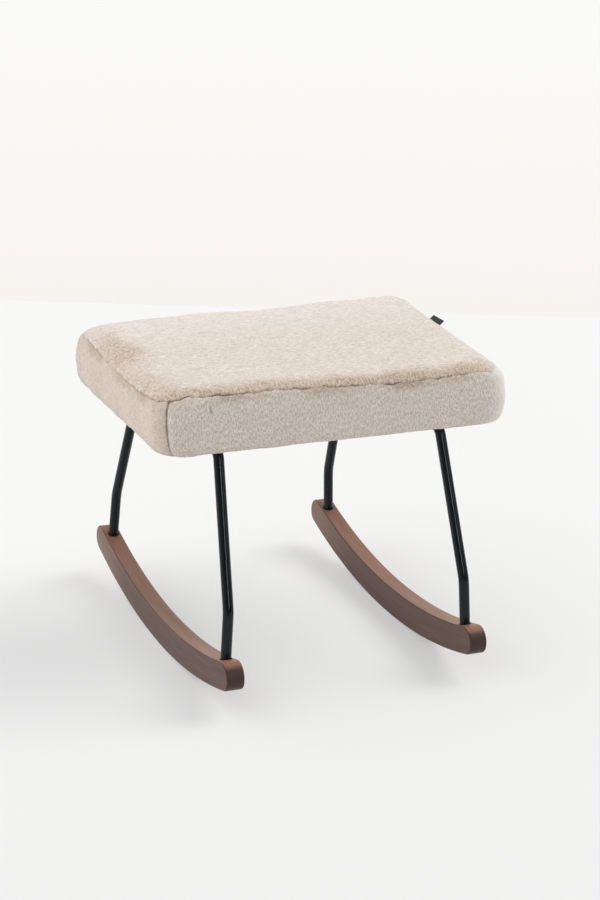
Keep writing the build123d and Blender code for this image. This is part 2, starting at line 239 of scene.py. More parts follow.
def make_floor():
    """A pale floor, square to the view, that fades into the surroundings at its far edge."""
    right = Vector((cos(CAMERA_YAW), -sin(CAMERA_YAW), 0))
    ahead = Vector((sin(CAMERA_YAW), cos(CAMERA_YAW), 0))
    corners = [(-1, -FLOOR_NEAR), (1, -FLOOR_NEAR), (1, FLOOR_FAR), (-1, FLOOR_FAR)]
    mesh = bpy.data.meshes.new("floor")
    mesh.from_pydata([right * x * FLOOR_NEAR + ahead * y for x, y in corners], [], [(0, 1, 2, 3)])
    floor = show("floor", mesh)
    ground = Finish("pale_floor", Roughness=0.7, Specular_IOR_Level=0.2)
    coords = ground.coords()
    pale = ground.mix(ground.noise(coords, 1.5, 1.0), *FLOOR_TONES)
    away = ground.vectors("DOT_PRODUCT", coords, ahead)["Value"]
    near_shade = ground.mix(ground.spread(away, -1.3, 0.2), FLOOR_NEAR_SHADE, WHITE)
    ground.feed(ground.shader.inputs["Base Color"], ground.mix(1.0, pale, near_shade, "MULTIPLY"))
    glow = ground.add("Emission", {"Color": ground.mix(1.0, FLOOR_GLOW_COLOUR, near_shade, "MULTIPLY")})
    share = ground.calc("MULTIPLY", ground.pale_rays(), FLOOR_GLOW)
    both = ground.add("MixShader", {0: share, 1: ground.shader.outputs[0], 2: glow.outputs[0]})
    ground.feed(ground.output.inputs["Surface"], both.outputs[0])
    mesh.materials.append(ground.material)


# ---- materials of the CAD pieces ----

ARC_RADIUS = 1.015  # to which the runners are bent
WOOD_TONES = ((0.138, 0.070, 0.047), (0.205, 0.112, 0.080))
WOOD_STREAK = (0.110, 0.055, 0.036)
# the pores' colour, also used as painted shade on the eased edges
WOOD_PORE_AND_EDGE_SHADE = (0.055, 0.03, 0.022)
WOOD_END = (0.050, 0.027, 0.022)
UPPER_FACE_LIGHT = ((1.8, 1.72, 1.66), (1.35, 1.24, 1.18))  # painted light on the runners' upper faces, front and rear
COAT = (0.004, 0.0055, 0.0085)
PLY = 0.0013  # thickness of one ply


def stained_wood():
    """Walnut-stained runners: grain along the length that follows the arc, a satin lacquer."""
    wood = Finish("stained_walnut", Specular_IOR_Level=0.33, Specular_Tint=(1.0, 0.85, 0.77, 1.0))
    across, run, up = wood.split(wood.coords())
    arc = wood.calc("DIVIDE", wood.calc("MULTIPLY", run, run), 2 * ARC_RADIUS)
    bent = wood.add("CombineXYZ", {0: across, 1: run, 2: wood.calc("SUBTRACT", up, arc)}).outputs[0]
    drift = wood.vectors("MULTIPLY", wood.noise(bent, (20, 5, 20)), (0.012, 0.0, 0.012))[0]
    bent = wood.vectors("ADD", bent, drift)[0]
    rings = wood.noise(bent, (90, 4.0, 90), 3.0, 0.55)
    streaks = wood.noise(bent, (700, 12, 700), 2.0, 0.6)
    pores = wood.noise(bent, (1900, 60, 1900), 1.0)
    tone = wood.mix(wood.spread(rings, 0.25, 0.75), *WOOD_TONES)
    tone = wood.mix(wood.spread(streaks, 0.4, 0.8, 0.0, 0.25), tone, WOOD_STREAK)
    tone = wood.mix(wood.spread(pores, 0.64, 0.74, 0.0, 0.3), tone, WOOD_PORE_AND_EDGE_SHADE)
    facing = wood.split(wood.add("NewGeometry").outputs["True Normal"])
    # painted shade: the eased edges are drawn darker, in the pores' colour
    eased = wood.calc("MULTIPLY", wood.calc("ABSOLUTE", facing["X"]), facing["Z"])
    tone = wood.mix(wood.spread(eased, 0.12, 0.42, 0.0, 0.6), tone, WOOD_PORE_AND_EDGE_SHADE)
    # painted light and shade: the flanks are drawn darker except at the rear, and the upper faces lighter, as
    # the light falls on them
    flank_shade = wood.spread(run, 0.14, 0.28, 0.6, 1.15)
    upper = wood.mix(wood.spread(run, 0.12, 0.27), *UPPER_FACE_LIGHT)
    painted_light = wood.mix(wood.spread(facing["Z"], 0.5, 0.9), flank_shade, upper)
    tone = wood.mix(1.0, tone, painted_light, "MULTIPLY")
    # cut across the grain, the ends soak up more stain
    end_on = wood.spread(wood.calc("ABSOLUTE", facing["Y"]), 0.33, 0.7, 0.0, 0.9)
    tone = wood.mix(end_on, tone, WOOD_END)
    grain = wood.calc("ADD", wood.calc("MULTIPLY", pores, 0.5), streaks)
    return wood.paint(tone, wood.spread(streaks, 0.3, 0.8, 0.36, 0.5), grain, 0.00012)


def powder_coat(name, roughness):
    """Blue-black powder coat with the faint orange peel of the baked powder."""
    colours = (COAT, tuple(c * 1.5 for c in COAT))
    rough = (0.2, 0.8, roughness - 0.04, roughness + 0.05)
    return grainy(name, (60,), colours, rough, (900,), 0.00003, Specular_IOR_Level=0.25)


def nylon_and_gap_shade():
    # the sleeves' near-black is the nylon's own colour, deepened to stand for the painted shade in the gap
    # round each foot
    colours = ((0.004, 0.004, 0.0045), (0.008, 0.008, 0.009))
    return grainy("nylon_and_gap_shade", (120,), colours, (0.2, 0.8, 0.42, 0.55), (2200, 1.0), 0.00002)


def zinc_plate():
    spangle, colours = (350, 3.0, 0.6), ((0.52, 0.53, 0.55), (0.74, 0.75, 0.76))
    rough, scratches = (0.3, 0.7, 0.28, 0.45), ((2500, 300, 900), 1.0)
    return grainy("zinc_plated_steel", spangle, colours, rough, scratches, 0.00002, Metallic=1.0)


def plywood():
    """Birch plywood: pale face grain along X, thin darker glue lines on the edges."""
    wood = Finish("birch_plywood")
    coords = wood.coords()
    grain = wood.noise(coords, (6, 160, 60), 3.0, 0.6, 0.6)
    fleck = wood.noise(coords, (60, 1400, 900))
    ply = wood.calc("FRACT", wood.calc("DIVIDE", wood.split(coords)["Z"], PLY))
    line = wood.spread(wood.calc("ABSOLUTE", wood.calc("SUBTRACT", ply, 0.5)), 0.38, 0.5)
    facing = wood.split(wood.add("NewGeometry").outputs["Normal"])["Z"]
    edge = wood.spread(wood.calc("ABSOLUTE", facing), 0.7, 0.3)
    face = wood.mix(wood.spread(grain, 0.3, 0.7), (0.52, 0.36, 0.2), (0.66, 0.5, 0.31))
    face = wood.mix(wood.spread(fleck, 0.5, 0.75, 0.0, 0.4), face, (0.4, 0.26, 0.14))
    glued = wood.mix(wood.calc("MULTIPLY", line, edge), face, (0.2, 0.11, 0.05))
    return wood.paint(glued, wood.spread(fleck, 0.2, 0.8, 0.6, 0.78), fleck, 0.00015)


def finish_cad_pieces():
    finishes = {  # by how the names of their pieces start; the last one is for all the others
        ("rocker_left", "rocker_right"): stained_wood(),
        "leg_frame_": powder_coat("powder_coated_tube", 0.15),
        "mount_plate_": powder_coat("powder_coated_plate", 0.25),
        "socket_sleeve_": nylon_and_gap_shade(),
        "seat_board": plywood(),
        "": zinc_plate(),
    }
    for name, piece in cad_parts.items():
        piece.data.materials.clear()
        piece.data.materials.append(next(finishes[start] for start in finishes if name.startswith(start)))


# ---- the seat's form ----
# A place round the seat is a number from 0 to 4: 0-1 along the front from its left end, 1-2 along the
# right-hand side, 2-3 along the rear and 3-4 along the left-hand side, back to the start.

PILE_PROUD = 0.0004
CAD_BULGE = 0.0015
HALF_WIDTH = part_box("cover_right_band")[1].x - CAD_BULGE + PILE_PROUD
HALF_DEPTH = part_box("cover_rear_band")[1].y - CAD_BULGE + PILE_PROUD
SEAT_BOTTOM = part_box("cover_front_band")[0].z
BOARD_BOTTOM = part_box("seat_board")[0].z

CORNER_RADIUS = (0.030, 0.030, 0.029, 0.034)  # in plan: front left, front right, rear right, rear left
TOP_LEVEL = (0.470, 0.4665, 0.4762, 0.4710)  # at the same corners, where the rounded edge ends
CROWN = 0.004
SHOULDER = ((0, 0.036), (0.14, 0.015), (0.86, 0.015), (1, 0.035), (1.2, 0.031), (1.75, 0.023), (2, 0.018),
            (2.13, 0.020), (2.87, 0.025), (3, 0.032), (3.2, 0.02), (3.8, 0.02))
BOTTOM_ROUND = ((0, 0.026), (0.05, 0.020), (0.85, 0.020), (1, 0.022), (1.5, 0.019), (2, 0.023), (2.5, 0.026),
                (3, 0.03), (3.5, 0.031), (3.93, 0.034))
BULGE = ((0, 0.0015), (0.85, 0.0015), (1, 0.002), (1.2, 0.0015))
# how strongly the top seam shows, and the corner seams, where 0 is the front left one
SEAM_SHOWS = ((0, 0.95), (0.1, 1.05), (0.75, 1.0), (0.9, 0.6), (1, 0.15), (1.3, 0.4), (2.5, 0.55), (3, 0.45),
              (3.2, 0.65), (3.9, 0.75))
SEAM_BREAKS = ((0.05, 1), (2.9, 1), (3.1, 0.35), (3.9, 0.35))  # how unevenly tufts of pile cover it
CORNER_SHOWS = (1.3, 0.2, 0.6, 0.6)
SEAM = ((0, 0.4577), (0.069, 0.464), (0.137, 0.463), (0.324, 0.463), (0.472, 0.460), (0.629, 0.456),
        (0.75, 0.456), (0.873, 0.459), (1, 0.457), (1.15, 0.459), (1.655, 0.4585), (2, 0.463), (2.5, 0.461),
        (3, 0.46), (3.22, 0.461), (3.52, 0.455), (3.84, 0.456), (3.985, 0.4585))
REAR_WAVE = ((-0.2, 0.0), (-0.078, 0.0026), (0.005, -0.002), (0.046, -0.002), (0.131, 0.0011), (0.22, 0.0))
# the seam's small waver: turns a side, height, shift
SEAM_WAVER = ((7, 0.0005, 0.3), (13, 0.0006, 1.9), (23, 0.0005, 4.0), (37, 0.0003, 2.2))
# the share of each rounded corner, in degrees, that belongs to the side that starts there
SHARE_AT_SEAM = (28, 22, 45, 45)
SHARE_AT_BOTTOM = (14, 22, 45, 45)

TOP_RUN = (0.586, 0.414)  # the top panel's cut size, seam to seam over the rounded edges
EDGE_ZONE = 0.1  # the belt of the top panel that follows the outline
UNDER_TURN = radians(78)  # how far the lower edge rounds under before it is drawn up to the board
LAP_START = 0.030  # from the seat's outline to where the turned-under plush lies flat
LAP_HEIGHT = 0.3756
LAP_RUN = 0.018
LAP_CLIMB = 1.1  # the way up to it, over the straight distance


def around(knots, ease=0.03):
    """A smooth function of the place round the seat that passes near the knots (place, value)."""
    step = 0.0025
    places = np.arange(-1, 5, step)
    keys, values = np.array(knots).T
    line = np.interp(places, keys, values, period=4)
    weights = np.exp(-((np.arange(-4 * ease, 4 * ease, step) / ease) ** 2))
    line = np.convolve(line, weights / weights.sum(), "same")
    return lambda place: np.interp(place, places, line)


shoulder_radius, bottom_radius = around(SHOULDER), around(BOTTOM_ROUND)
side_bulge, broad_seam = around(BULGE), around(SEAM, 0.015)
seam_shows, seam_breaks = around(SEAM_SHOWS), around(SEAM_BREAKS)


def clamp(value):
    return np.clip(value, 0, 1)


def smooth(value, low, high):
    t = clamp((value - low) / (high - low))
    return t * t * (3 - 2 * t)


def lerp(first, second, t):
    return first + (second - first) * t


def seam_height(place):
    waver = sum(size * np.sin(2 * pi * turns * place + shift) for turns, size, shift in SEAM_WAVER)
    return broad_seam(place) + waver


def top_level(x, y):
    """Height of the seat's top at a plan point, before the edge rounds off."""
    a, b = (x / HALF_WIDTH + 1) / 2, (y / HALF_DEPTH + 1) / 2
    flat = lerp(lerp(TOP_LEVEL[0], TOP_LEVEL[1], a), lerp(TOP_LEVEL[3], TOP_LEVEL[2], a), b)
    crown = CROWN * clamp(1 - (2 * a - 1) ** 2) * clamp(1 - (2 * b - 1) ** 2)
    wave = np.interp(x, *np.array(REAR_WAVE).T) * smooth(y, HALF_DEPTH - 0.11, HALF_DEPTH - 0.02)
    return flat + crown + wave


def corner_level(side, along):
    return lerp(TOP_LEVEL[side], TOP_LEVEL[(side + 1) % 4], along)


def outline(side, along, inset, first_inset, last_inset, rounding, first_share, last_share):
    """Plan points and outward directions on one side of the seat's outline, drawn in by the insets.
    The shares are how much of the corner at each end belongs to this side."""
    half_run, half_out = (HALF_WIDTH, HALF_DEPTH)[::1 if side % 2 == 0 else -1]
    start, end = first_inset - half_run, half_run - last_inset
    run = lerp(start, end, along)
    out = half_out - inset
    turn = np.zeros_like(run)
    for corner, share, sign in ((side, first_share, -1), ((side + 1) % 4, last_share, 1)):
        radius = np.maximum(CORNER_RADIUS[corner] * rounding, 1e-6)
        gap = end - run if sign > 0 else run - start  # from the corner that the outline would have unrounded
        reach = 1.7 * radius
        line = gap / reach * (reach - radius + share * radius)
        near = gap < reach
        on_arc = near & (line < share * radius)
        angle = np.where(on_arc, share - line / radius, 0)
        rounded = np.where(on_arc, radius * (1 - np.sin(angle)), radius + line - share * radius)
        gap = np.where(near, rounded, gap)
        run = end - gap if sign > 0 else start + gap
        out = out - np.where(on_arc, radius * (1 - np.cos(angle)), 0)
        turn = turn + sign * angle
    heading = (-pi / 2, 0.0, pi / 2, pi)[side]  # of the outward direction
    c, s = cos(heading), sin(heading)
    plan = np.stack([out * c - run * s, out * s + run * c], -1)
    return plan, np.stack([np.cos(heading + turn), np.sin(heading + turn)], -1)


def standing(plan, outward, height, slope):
    """Points at a height over plan points, and outward directions that slope up by an angle."""
    normal = join([outward * np.cos(slope)[..., None], np.sin(slope)[..., None]], -1)
    return join([plan, height[..., None]], -1), normal


def seam_turn(side, along):
    """Angle above level, on the rounded upper edge, at which the seam lies."""
    radius = shoulder_radius(side + along)
    rise = seam_height(side + along) - corner_level(side, along) + radius
    return np.arcsin(np.clip(rise / radius, 0.02, 0.98))


def edge(side, along, run):
    """The rounded upper edge: inset, slope angle and drop at a distance above the seam."""
    radius, first = shoulder_radius(side + along), seam_turn(side, along)
    angle = np.minimum(first + run / radius, pi / 2)
    beyond = np.maximum(run - (pi / 2 - first) * radius, 0)
    return radius * (1 - np.cos(angle)) + beyond, angle, radius * (1 - np.sin(angle))


def shares(side, towards, t):
    """The two corner shares of a side, moving from their value at the seam towards another one."""
    first, last = (lerp(SHARE_AT_SEAM[k % 4], towards[k % 4], t) for k in (side, side + 1))
    return np.radians(first), np.radians(90 - last)


def belt(side, along, run):
    """Points and outward directions of the top panel, run above the seam, within its edge zone."""
    inset, angle, drop = edge(side, along, run)
    first, last = edge(side, 0.0 * run, run)[0], edge(side, 0.0 * run + 1, run)[0]
    rounding, split = 1 - smooth(run, 0.04, EDGE_ZONE), shares(side, (45,) * 4, smooth(run, 0, EDGE_ZONE / 2))
    plan, outward = outline(side, along, inset, first, last, rounding, *split)
    return standing(plan, outward, top_level(plan[..., 0], plan[..., 1]) - drop, angle)


def top_surface(p, q):
    """Points, outward directions, distance from the seam and the nearest place round the seat on the top
    panel; p and q are in its cut size."""
    width, depth = TOP_RUN
    p, q = np.meshgrid(p, q, indexing="ij")
    gaps = np.stack([q, width - p, depth - q, p])
    side, run = gaps.argmin(0), gaps.min(0)
    points, normals = np.zeros((*p.shape, 3)), np.zeros((*p.shape, 3))
    normals[..., 2] = 1
    forward = (p, q, width - p, depth - q)
    for k in range(4):
        here = (side == k) & (run < EDGE_ZONE)
        along = (forward[k][here] - run[here]) / (TOP_RUN[k % 2] - 2 * run[here])
        points[here], normals[here] = belt(k, along, run[here])
    inner = run >= EDGE_ZONE
    a, b = ((c[inner] - EDGE_ZONE) / (size - 2 * EDGE_ZONE) for c, size in ((p, width), (q, depth)))
    zone = np.full(a.shape, EDGE_ZONE)
    x = lerp(edge(3, 1 - b, zone)[0] - HALF_WIDTH, HALF_WIDTH - edge(1, b, zone)[0], a)
    y = lerp(edge(0, a, zone)[0] - HALF_DEPTH, HALF_DEPTH - edge(2, 1 - a, zone)[0], b)
    points[inner] = np.stack([x, y, top_level(x, y)], -1)
    place = side + np.choose(side, [forward[k] / TOP_RUN[k % 2] for k in range(4)])
    return points, normals, run, place


def band_surface(side, along, down):
    """Points and outward directions of a side band; along and down run from 0 to 1."""
    along, down = np.meshgrid(along, down, indexing="ij")
    place = side + along
    radius, foot = shoulder_radius(place), bottom_radius(place)
    first, level = seam_turn(side, along), corner_level(side, along)
    wall_top, wall_bottom = level - radius, SEAT_BOTTOM + foot
    wall = wall_top - wall_bottom
    tuck_inset = foot * (1 - np.cos(UNDER_TURN))
    tuck_height = SEAT_BOTTOM + foot * (1 - np.sin(UNDER_TURN))
    rise = np.hypot(LAP_START - tuck_inset, LAP_HEIGHT - tuck_height) * LAP_CLIMB
    lengths = [radius * first, wall, foot * UNDER_TURN, rise, LAP_RUN + 0 * wall]
    run = down * sum(lengths)
    ends = np.cumsum(lengths, 0)
    # the rounded upper edge, then the wall, then the lower edge
    turned = first - run / radius
    bulge = side_bulge(place) * clamp(1 - (2 * (run - ends[0]) / wall - 1) ** 2)
    under = (run - ends[1]) / foot
    parts = [run < end for end in ends[:3]]
    inset = np.select(parts, [radius * (1 - np.cos(turned)), -bulge, foot * (1 - np.cos(under))])
    height = np.select(parts, [level - radius * (1 - np.sin(turned)), wall_top - (run - ends[0]),
                               SEAT_BOTTOM + foot * (1 - np.sin(under))])
    slope = np.select(parts, [turned, 0 * run, -under])
    # then up to the board, and flat along it
    t = clamp((run - ends[2]) / rise)
    past = np.maximum(run - ends[3], 0)
    tucked = run >= ends[2]
    inset = np.where(tucked, lerp(tuck_inset, LAP_START, t) + past, inset)
    height = np.where(tucked, lerp(tuck_height, LAP_HEIGHT, smooth(t, 0, 1)), height)
    slope = np.where(tucked, -pi / 2, slope)
    end_insets = [np.take(inset, [k], 0) + 0 * inset for k in (0, -1)]
    split = shares(side, SHARE_AT_BOTTOM, clamp(down / 0.6))
    plan, outward = outline(side, along, inset, *end_insets, 1 - smooth(inset, 0.03, 0.09), *split)
    fade = 1 - smooth(run, 0, 0.06)
    height = height + (top_level(plan[..., 0], plan[..., 1]) - level) * fade
    return standing(plan, outward, height, slope)


# ---- noise in the plane ----


def perlin(x, y, seed):
    """Gradient noise from about -1 to 1, one bump to a unit of x and y."""
    angle = np.random.default_rng(seed).uniform(0, 2 * pi, (256, 256))
    x0, y0 = np.floor(x).astype(int), np.floor(y).astype(int)
    fx, fy = x - x0, y - y0

    def slope(i, j):
        turn = angle[(x0 + i) & 255, (y0 + j) & 255]
        return np.cos(turn) * (fx - i) + np.sin(turn) * (fy - j)

    u, v = (f * f * f * (f * (f * 6 - 15) + 10) for f in (fx, fy))
    return 1.5 * lerp(lerp(slope(0, 0), slope(1, 0), u), lerp(slope(0, 1), slope(1, 1), u), v)


def swells(x, y, *rows):
    """Noises added up: rows of a height, a bump's size along x and along y, and a seed."""
    return sum(height * perlin(x / wide, y / long, seed) for height, wide, long, seed in rows)


def tufts(across, along, width, length, seed):
    """Clumps of pile, longer along the pile than across it and bent a little by a slower noise."""
    bend = 0.8 * perlin(across / (5 * width), along / (3 * length), seed + 1)
    fine = perlin(across / width + bend, along / length, seed)
    coarse = perlin(across / (2.1 * width) - bend, along / (1.9 * length), seed + 2)
    return 0.72 * fine + 0.4 * coarse


def stroke(x, y, points, width):
    """1 on a crease drawn through the points, fading to 0 at its width and towards its two ends."""
    result = np.zeros_like(x)
    lengths = [np.hypot(b[0] - a[0], b[1] - a[1]) for a, b in zip(points, points[1:])]
    done = 0.0
    for (a, b), length in zip(zip(points, points[1:]), lengths):
        t = clamp(((x - a[0]) * (b[0] - a[0]) + (y - a[1]) * (b[1] - a[1])) / length**2)
        away = np.hypot(x - lerp(a[0], b[0], t), y - lerp(a[1], b[1], t))
        share = (done + t * length) / sum(lengths)
        taper = clamp(4 * share * (1 - share)) ** 0.5
        result = np.maximum(result, np.exp(-((away / width) ** 2)) * taper)
        done += length
    return result


# ---- nets and meshes ----


def grid_faces(index):
    """Quads of a grid of point numbers, facing the way that its second axis turns from its first."""
    return np.stack([index[:-1, :-1], index[1:, :-1], index[1:, 1:], index[:-1, 1:]], -1).reshape(-1, 4)


def ring_faces(*rings):
    """Quads between closed rings of point numbers."""
    rings = np.array(rings)
    return grid_faces(join([rings, rings[:, :1]], 1))


def rim_of(index):
    """The ring round the edge of a grid of point numbers."""
    return join([index[:-1, 0], index[-1, :-1], index[:0:-1, -1], index[0, :0:-1]])


def mesh_object(name, points, faces, material):
    mesh = bpy.data.meshes.new(name)
    mesh.from_pydata(points.tolist(), [], faces)
    mesh.shade_smooth()
    mesh.materials.append(material)
    return show(name, mesh)


def part(name, node, points, faces, material):
    """A piece of the stool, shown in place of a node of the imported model."""
    piece = mesh_object(name, points, faces, material)
    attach(piece, "root")
    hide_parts(node)
    return piece


def sheet_part(name, node, slot, upper, lower, material):
    """A thin closed piece between two grids of points."""
    index = np.arange(upper[..., 0].size).reshape(upper.shape[:2])
    rim = rim_of(index)
    around = ring_faces(rim, rim + index.size)
    faces = join([grid_faces(index), grid_faces(index)[:, ::-1] + index.size, around])
    points = join([upper.reshape(-1, 3), lower.reshape(-1, 3)])
    return part(name, node, points, faces.tolist(), material)


def seat_net(columns, rows, drops):
    """One net over the top panel and down the four bands: points, outward directions, quads, the numbers of
    the top's points as a grid, and those of the bands as a ring for each drop."""
    points, normals = top_surface(np.linspace(0, TOP_RUN[0], columns), np.linspace(0, TOP_RUN[1], rows))[:2]
    top = np.arange(columns * rows).reshape(columns, rows)
    rings = [rim_of(top)]
    sides = [band_surface(k, np.linspace(0, 1, (columns, rows)[k % 2]), drops) for k in range(4)]
    points, normals = [points.reshape(-1, 3)], [normals.reshape(-1, 3)]
    for n in range(1, len(drops)):
        rings.append(np.arange(len(rings[0])) + sum(map(len, points)))
        points.append(join([side[0][:-1, n] for side in sides]))
        normals.append(join([side[1][:-1, n] for side in sides]))
    quads = join([grid_faces(top), ring_faces(*rings)])
    return join(points), join(normals), quads, top, np.array(rings)


# ---- the cover's wrinkles, from a cloth simulation ----

NET = (97, 69)  # points across the seat and along its depth
NET_DROPS = 25
HELD_DROPS = 5  # the last ones, which lie on the board
PRESSURE = 4.0
EASE = 0.035  # how much larger the cloth is cut than the form that it covers
SIMULATED_STEPS = 20
MOST_MOVE = 0.006
BROAD = 5  # net steps over which the simulation's broad swelling is averaged and left out
RELIEF_SHARE = 0.4
MOST_RELIEF = 0.0011


def blurred(values):
    """A grid averaged over its neighbourhood, along both axes."""
    weights = np.exp(-((np.arange(-2 * BROAD, 2 * BROAD + 1) / BROAD) ** 2))
    weights /= weights.sum()
    for axis in (0, 1):
        padded = np.pad(values, [(2 * BROAD,) * 2 if k == axis else (0, 0) for k in (0, 1)], "edge")
        values = np.apply_along_axis(np.convolve, axis, padded, weights, "valid")
    return values


def cover_relief():
    """The wrinkles of the stuffed cover: how far the cloth stands out from its broad form, at the points of
    the top panel's grid and of each band's."""
    points, normals, quads, top, rings = seat_net(*NET, np.linspace(0, 1, NET_DROPS))
    moves = np.zeros(len(points))
    moves = simulated_moves(points, normals, quads, rings)
    grids = [moves[top]]
    start = 0
    for side in range(4):
        count = NET[side % 2]
        grids.append(moves[rings[:, np.arange(start, start + count) % rings.shape[1]]].T)
        start += count - 1
    return [MOST_RELIEF * np.tanh(RELIEF_SHARE * (grid - blurred(grid)) / MOST_RELIEF) for grid in grids]


def simulated_moves(points, normals, quads, rings):
    """How far a cloth held along its seams moves outwards when the padding presses it from inside."""
    trial = mesh_object("cloth_trial", points, quads.tolist(), plush)
    corners = [k * (NET[0] - 1) + m * (NET[1] - 1) for k, m in ((0, 0), (1, 0), (1, 1), (2, 1))]
    held = trial.vertex_groups.new(name="held")
    lines = join([rings[0], rings[:, corners].ravel(), rings[-HELD_DROPS:].ravel()])
    held.add(np.unique(lines).tolist(), 1.0, "REPLACE")
    cloth = trial.modifiers.new("cloth", "CLOTH")
    set_all(cloth.settings, quality=5, mass=0.3, vertex_group_mass=held.name, tension_stiffness=15,
            compression_stiffness=15, shear_stiffness=5, bending_stiffness=0.3, use_pressure=True,
            uniform_pressure_force=PRESSURE, shrink_min=-EASE)
    cloth.settings.effector_weights.gravity = 0
    set_all(cloth.collision_settings, use_collision=False, use_self_collision=False)
    for step in range(1, SIMULATED_STEPS + 1):
        bpy.context.scene.frame_set(step)
    shape = trial.evaluated_get(bpy.context.evaluated_depsgraph_get()).data
    moved = np.empty(3 * len(points), np.float32)
    shape.vertices.foreach_get("co", moved)
    bpy.context.scene.frame_set(1)
    bpy.data.meshes.remove(trial.data)  # and the object with it
    outwards = ((moved.reshape(-1, 3) - points) * normals).sum(-1)
    return np.clip(outwards, -MOST_MOVE, MOST_MOVE)


def resampled(values, rows_at, columns_at):
    """A grid's values at finer places, given as shares of its two axes, along Catmull-Rom curves."""

    def weights(share, count):
        at = share * (count - 1)
        base = np.clip(np.floor(at).astype(int), 0, count - 2)
        t = at - base
        parts = ((2 - t) * t - 1, 3 * t * t - 5 * t, (4 - 3 * t) * t + 1, t * t - t)
        parts = (parts[0] * t / 2, (parts[1] * t + 2) / 2, parts[2] * t / 2, parts[3] * t / 2)
        matrix = np.zeros((len(at), count))
        for k, weight in enumerate(parts):
            np.add.at(matrix, (np.arange(len(at)), np.clip(base + k - 1, 0, count - 1)), weight)
        return matrix

    return weights(rows_at, values.shape[0]) @ values @ weights(columns_at, values.shape[1]).T


# ---- the plush cover ----

MESH_STEP = 0.0015
MESH_STEP_AT_SEAM = 0.0007
SEAM_ZONE = 0.007
INNER_STEP = 4  # the inner face has every fourth point of the outer one, each way
COVER_THICKNESS = 0.0074
LAP_THICKNESS = 0.0022
SEAM_DEPTH = 0.0026
SEAM_REACH = 0.0042
SEAM_LINE = 0.0016  # half-width of the painted shade line in a seam
PILE_FADE = (0.001, 0.006)  # from a seam, to where tufts and wrinkles have their full height
TOP_TUFT = 0.0004  # height
BAND_TUFT = 0.0006
PARTING = 0.0007
# creases of the top panel: through these plan points, half-width, height
TOP_CREASES = (
    (((-0.256, -0.013), (-0.208, -0.018), (-0.184, -0.032)), 0.0024, 0.0013),
    (((-0.250, -0.006), (-0.205, -0.011), (-0.180, -0.025)), 0.0018, -0.0010),
    (((-0.257, 0.117), (-0.236, 0.124), (-0.213, 0.130)), 0.0018, -0.0012),
    (((-0.268, 0.058), (-0.256, 0.066), (-0.242, 0.071)), 0.0018, -0.0012),
    (((-0.236, 0.105), (-0.205, 0.098), (-0.178, 0.100)), 0.0024, 0.0006),
    (((-0.133, 0.087), (-0.098, 0.071), (-0.060, 0.055)), 0.0026, -0.0008),
    (((-0.170, -0.110), (-0.130, -0.118), (-0.085, -0.112)), 0.0026, 0.0008),
    (((0.010, -0.148), (0.030, -0.152), (0.046, -0.149)), 0.0018, -0.0010),
)
FRONT_CREASE = (((-0.217, 0.016), (-0.215, 0.028)), 0.0018)  # through x and drop, half-width
FRONT_CREASE_DEPTH = 0.001
LEAN_PATCH = (-0.262, 0.045)  # on the top at the left, where the pile leans
LEAN_PATCH_SIZE = (0.026, 0.085)

# the centreline of a leg where it passes the cover, right-hand front, from the knee to the middle of the rail
LEG_LINE = ((0.19095, -0.260, 0.1521), (0.1794, -0.1805, 0.3589), (0.1790, -0.1744, 0.3665),
            (0.1789, -0.1656, 0.3692), (0.1789, 0.0, 0.3692))
LEG_RADIUS = 0.0087


def clear_of_legs(points, radius):
    """The points, pushed out of the four legs' tubes."""
    signs = np.where(points[..., :2] < 0, -1.0, 1.0)
    signs[..., 1] *= -1
    near = points.copy()
    near[..., :2] *= signs
    for a, b in zip(LEG_LINE, LEG_LINE[1:]):
        a, b = np.array(a), np.array(b)
        t = clamp(((near - a) @ (b - a)) / ((b - a) @ (b - a)))
        away = near - (a + t[..., None] * (b - a))
        distance = np.linalg.norm(away, axis=-1)
        short = np.maximum(radius - distance, 0) / np.maximum(distance, 1e-6)
        near += away * short[..., None]
    near[..., :2] *= signs
    return near


def graded(length):
    """Grid lines from 0 to the length, closer together near both ends."""
    half = [0.0]
    while half[-1] < length / 2:
        near = smooth(half[-1], 0, SEAM_ZONE)
        half.append(half[-1] + lerp(MESH_STEP_AT_SEAM, MESH_STEP, near))
    half = np.array(half[: len(half) // 2 * 2 + 1])
    half *= length / 2 / half[-1]
    return join([half, length - half[-2::-1]])


def lip(distance, grip):
    """How far the pile sinks as it rolls into a seam."""
    return -SEAM_DEPTH * grip * clamp(1 - distance / SEAM_REACH) ** 2


def seam_grip(place):
    """How tightly the top seam is drawn in at a place: tufts of pile cover it here and there."""
    covered = 0.75 * perlin(place * 34, 0 * place + 0.3, 11) + 0.45 * perlin(place * 13, 0 * place + 0.6, 14)
    return seam_shows(place) * np.clip(0.65 + covered * seam_breaks(place), 0, 1.1)


def seam_shade(distance, grip, gain=1.4, least=0.3):
    """How dark the painted shade in a seam is: darker where the seam is drawn in more."""
    return np.exp(-((distance / SEAM_LINE) ** 2)) * clamp(gain * grip - least)


def grid_lengths(points, axis):
    """Distance along the grid lines of one axis from their start, and from their end."""
    step = np.linalg.norm(np.diff(points, axis=axis), axis=-1)
    zero = np.zeros_like(np.take(step, [0], axis))
    gone = join([zero, np.cumsum(step, axis)], axis)
    return gone, np.take(gone, [-1], axis) - gone


# where the outer face, the inner face and the rims lie in a panel's UV map: start and size
OUTER_CHART = np.array(((0.01, 0.01), (0.98, 0.68)))
INNER_CHART = np.array(((0.01, 0.72), (0.5, 0.19)))
RIM_CHART = (0.02, 0.96)
RIM_STRIPS = (0.93, 0.014, 0.01)  # the first strip's level, the pitch and the width


